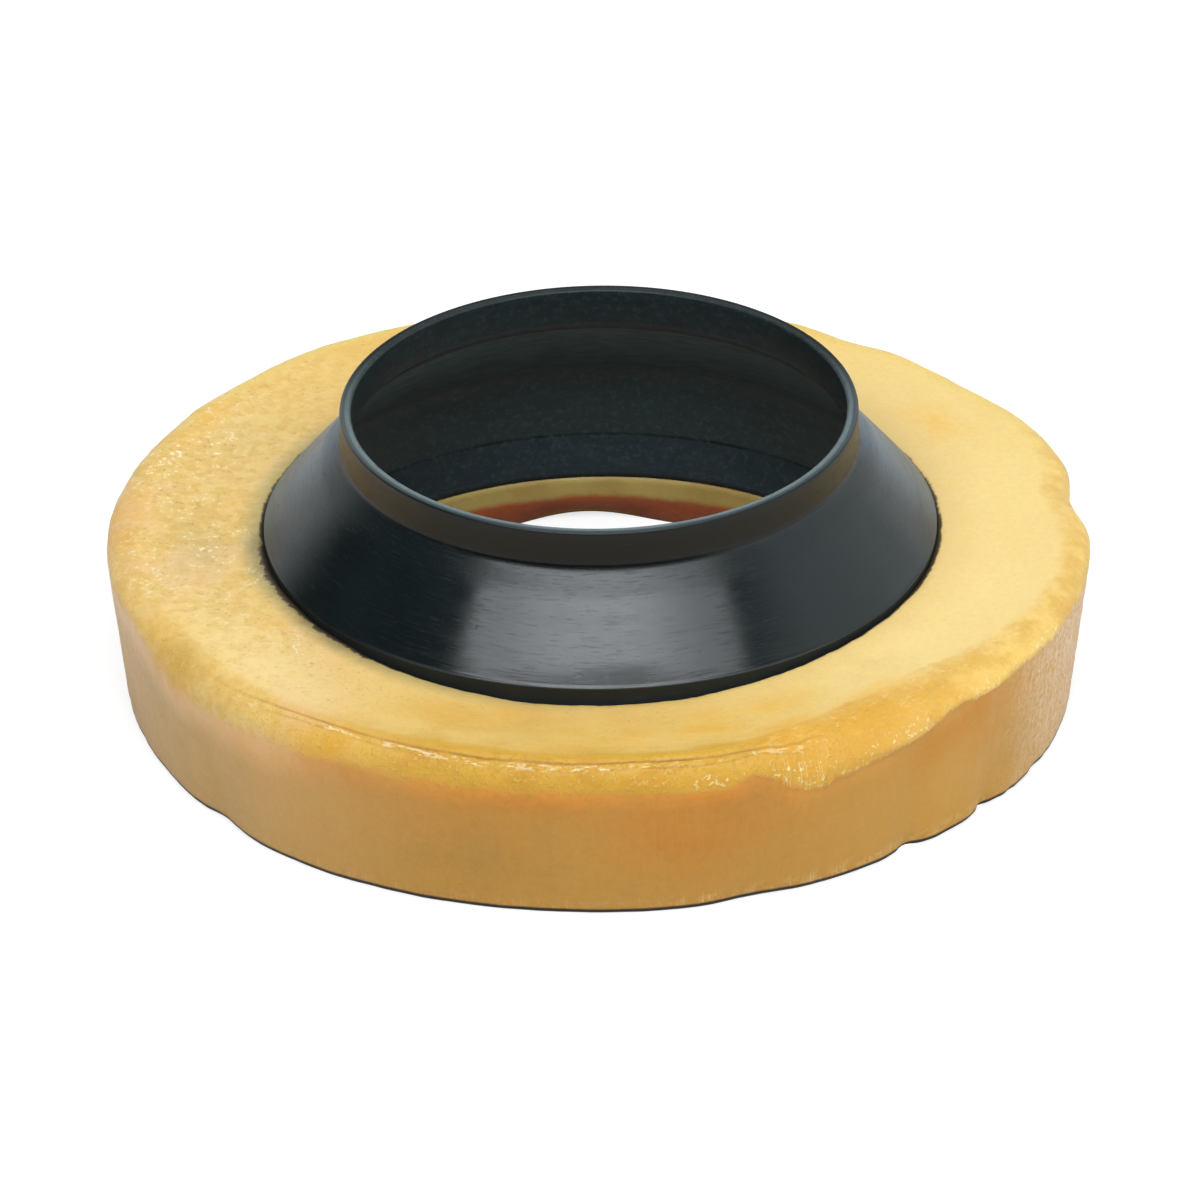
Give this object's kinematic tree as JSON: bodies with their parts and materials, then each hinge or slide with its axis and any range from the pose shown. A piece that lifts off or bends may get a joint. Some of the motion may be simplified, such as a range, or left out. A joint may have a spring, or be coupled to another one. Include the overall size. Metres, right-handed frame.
{
  "type": "toilet pan seal",
  "caption": "Soft wax ring moulded round a tapered black plastic horn, lying with the horn's narrow round outlet upwards.",
  "frame": {"origin": "on the centre line of the ring and horn, at the flat foot of the wax ring that it lies on", "axes": "+Z runs along the centre line from the flat foot of the ring to the narrow outlet of the horn, and -Y is the side that faced the camera"},
  "size_m": [0.1405, 0.1395, 0.0442],
  "materials": {
    "wax": "soft amber wax, slightly greasy sheen, smeared and flecked on the top and along its edges",
    "horn_plastic": "moulded black polyethylene with a waxy half gloss and fine scuffs"
  },
  "bodies": {
    "root": {"wax_ring": "wax", "horn": "horn_plastic"}
  },
  "joints": []
}
